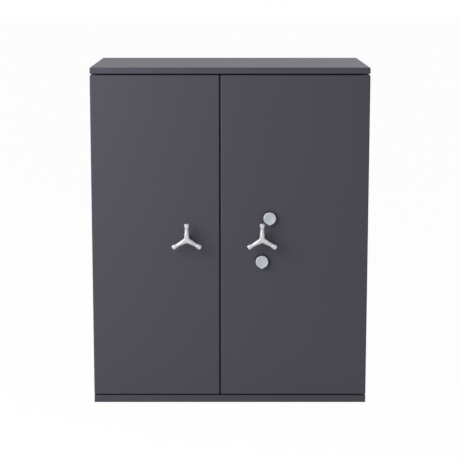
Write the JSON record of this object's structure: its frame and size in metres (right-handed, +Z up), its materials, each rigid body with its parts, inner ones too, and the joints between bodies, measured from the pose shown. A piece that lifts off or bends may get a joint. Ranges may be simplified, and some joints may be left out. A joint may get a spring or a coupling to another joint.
{
  "type": "two-door security safe",
  "caption": "Tall graded security safe with unequal leaves, three-spoke handles that drive sliding bolts, key locks under swinging covers, and shelves inside.",
  "frame": {"origin": "on the floor, at the centre of the cabinet's footprint with the doors shut", "axes": "+Z up, +X to the right of someone facing the doors, +Y from the doors to the back"},
  "size_m": [0.97, 0.597, 1.195],
  "materials": {
    "shell_paint": "fine-textured dark grey powder coat",
    "inner_paint": "light grey powder coat",
    "barrier": "cast barrier material, unfinished",
    "satin_chrome": "satin chrome plate",
    "black_metal": "black lacquer",
    "lock_case": "yellow-passivated zinc",
    "brass": "machined",
    "steel": "machined and zinc plated"
  },
  "bodies": {
    "cabinet": {"top_cap": "shell_paint", "base_tray": "shell_paint", "left_side_panel": "shell_paint", "right_side_panel": "shell_paint", "rear_panel": "shell_paint", "wall_fill": "barrier", "inner_liner": "inner_paint", "front_frame": "shell_paint", "hinge_pivots": "steel", "anchor_sleeves": "steel", "shelf_uprights": "inner_paint", "shelf_clips": "steel", "shelf_1": "inner_paint", "shelf_2": "inner_paint", "shelf_3": "inner_paint"},
    "left_door": {"left_door_skin": "shell_paint", "left_door_fill": "barrier", "left_door_back": "inner_paint", "left_bolt_housing": "inner_paint", "left_inner_cover": "inner_paint", "left_cover_screws": "steel", "left_hinge_bearings": "steel", "left_dog_bolts": "steel", "left_guide_studs": "steel", "left_handle_bush": "black_metal"},
    "left_handle": {"left_handle": "satin_chrome", "left_handle_screw": "steel", "left_spindle": "steel", "left_cam_disc": "steel"},
    "left_top_bar": {"left_top_carriage": "steel", "left_top_bolts": "steel"},
    "left_bottom_bar": {"left_bottom_carriage": "steel", "left_bottom_bolts": "steel"},
    "right_door": {"right_door_skin": "shell_paint", "right_door_fill": "barrier", "right_door_back": "inner_paint", "right_bolt_housing": "inner_paint", "right_inner_cover": "inner_paint", "right_cover_screws": "steel", "right_hinge_bearings": "steel", "right_dog_bolts": "steel", "right_guide_studs": "steel", "right_handle_bush": "black_metal", "lock_cases": "lock_case", "key_tubes": "steel", "keyhole_roses": "black_metal"},
    "right_handle": {"right_handle": "satin_chrome", "right_handle_screw": "steel", "right_spindle": "steel", "right_cam_disc": "steel"},
    "right_top_bar": {"right_top_carriage": "steel", "right_top_bolts": "steel"},
    "right_bottom_bar": {"right_bottom_carriage": "steel", "right_bottom_bolts": "steel"},
    "right_side_bar": {"right_side_carriage": "steel", "right_side_bolts": "steel"},
    "upper_cover": {"upper_key_cover": "satin_chrome"},
    "upper_bolt": {"upper_lock_bolt": "brass"},
    "lower_cover": {"lower_key_cover": "satin_chrome"},
    "lower_bolt": {"lower_lock_bolt": "brass"}
  },
  "joints": [
    {"name": "left_door_hinge", "type": "hinge", "parent": "cabinet", "child": "left_door", "pos_m": [-0.467, -0.257, 0], "axis": [0, 0, -1], "range_deg": [0, 115]},
    {"name": "left_handle_turn", "type": "hinge", "parent": "left_door", "child": "left_handle", "pos_m": [-0.1512, -0.275, 0.5975], "axis": [0, -1, 0], "range_deg": [0, 90]},
    {"name": "left_top_slide", "type": "slide", "parent": "left_door", "child": "left_top_bar", "axis": [0, 0, 1], "range_m": [0, 0.03]},
    {"name": "left_bottom_slide", "type": "slide", "parent": "left_door", "child": "left_bottom_bar", "axis": [0, 0, -1], "range_m": [0, 0.03]},
    {"name": "right_door_hinge", "type": "hinge", "parent": "cabinet", "child": "right_door", "pos_m": [0.467, -0.257, 0], "axis": [0, 0, 1], "range_deg": [0, 115]},
    {"name": "right_handle_turn", "type": "hinge", "parent": "right_door", "child": "right_handle", "pos_m": [0.1123, -0.275, 0.5975], "axis": [0, -1, 0], "range_deg": [0, 90]},
    {"name": "right_top_slide", "type": "slide", "parent": "right_door", "child": "right_top_bar", "axis": [0, 0, 1], "range_m": [0, 0.03]},
    {"name": "right_bottom_slide", "type": "slide", "parent": "right_door", "child": "right_bottom_bar", "axis": [0, 0, -1], "range_m": [0, 0.03]},
    {"name": "right_side_slide", "type": "slide", "parent": "right_door", "child": "right_side_bar", "axis": [-1, 0, 0], "range_m": [0, 0.03]},
    {"name": "upper_cover_swing", "type": "hinge", "parent": "right_door", "child": "upper_cover", "pos_m": [0.139, -0.285, 0.685], "axis": [0, -1, 0], "range_deg": [-100, 100]},
    {"name": "upper_lock_slide", "type": "slide", "parent": "right_door", "child": "upper_bolt", "axis": [-1, 0, 0], "range_m": [0, 0.012]},
    {"name": "lower_cover_swing", "type": "hinge", "parent": "right_door", "child": "lower_cover", "pos_m": [0.1123, -0.285, 0.5305], "axis": [0, -1, 0], "range_deg": [-100, 100]},
    {"name": "lower_lock_slide", "type": "slide", "parent": "right_door", "child": "lower_bolt", "axis": [0, 0, 1], "range_m": [0, 0.012]}
  ],
  "couplings": [
    {"joint": "left_top_slide", "follows": "left_handle_turn", "m_per_rad": 0.019099},
    {"joint": "left_bottom_slide", "follows": "left_handle_turn", "m_per_rad": 0.019099},
    {"joint": "right_top_slide", "follows": "right_handle_turn", "m_per_rad": 0.019099},
    {"joint": "right_bottom_slide", "follows": "right_handle_turn", "m_per_rad": 0.019099},
    {"joint": "right_side_slide", "follows": "right_handle_turn", "m_per_rad": 0.019099}
  ]
}
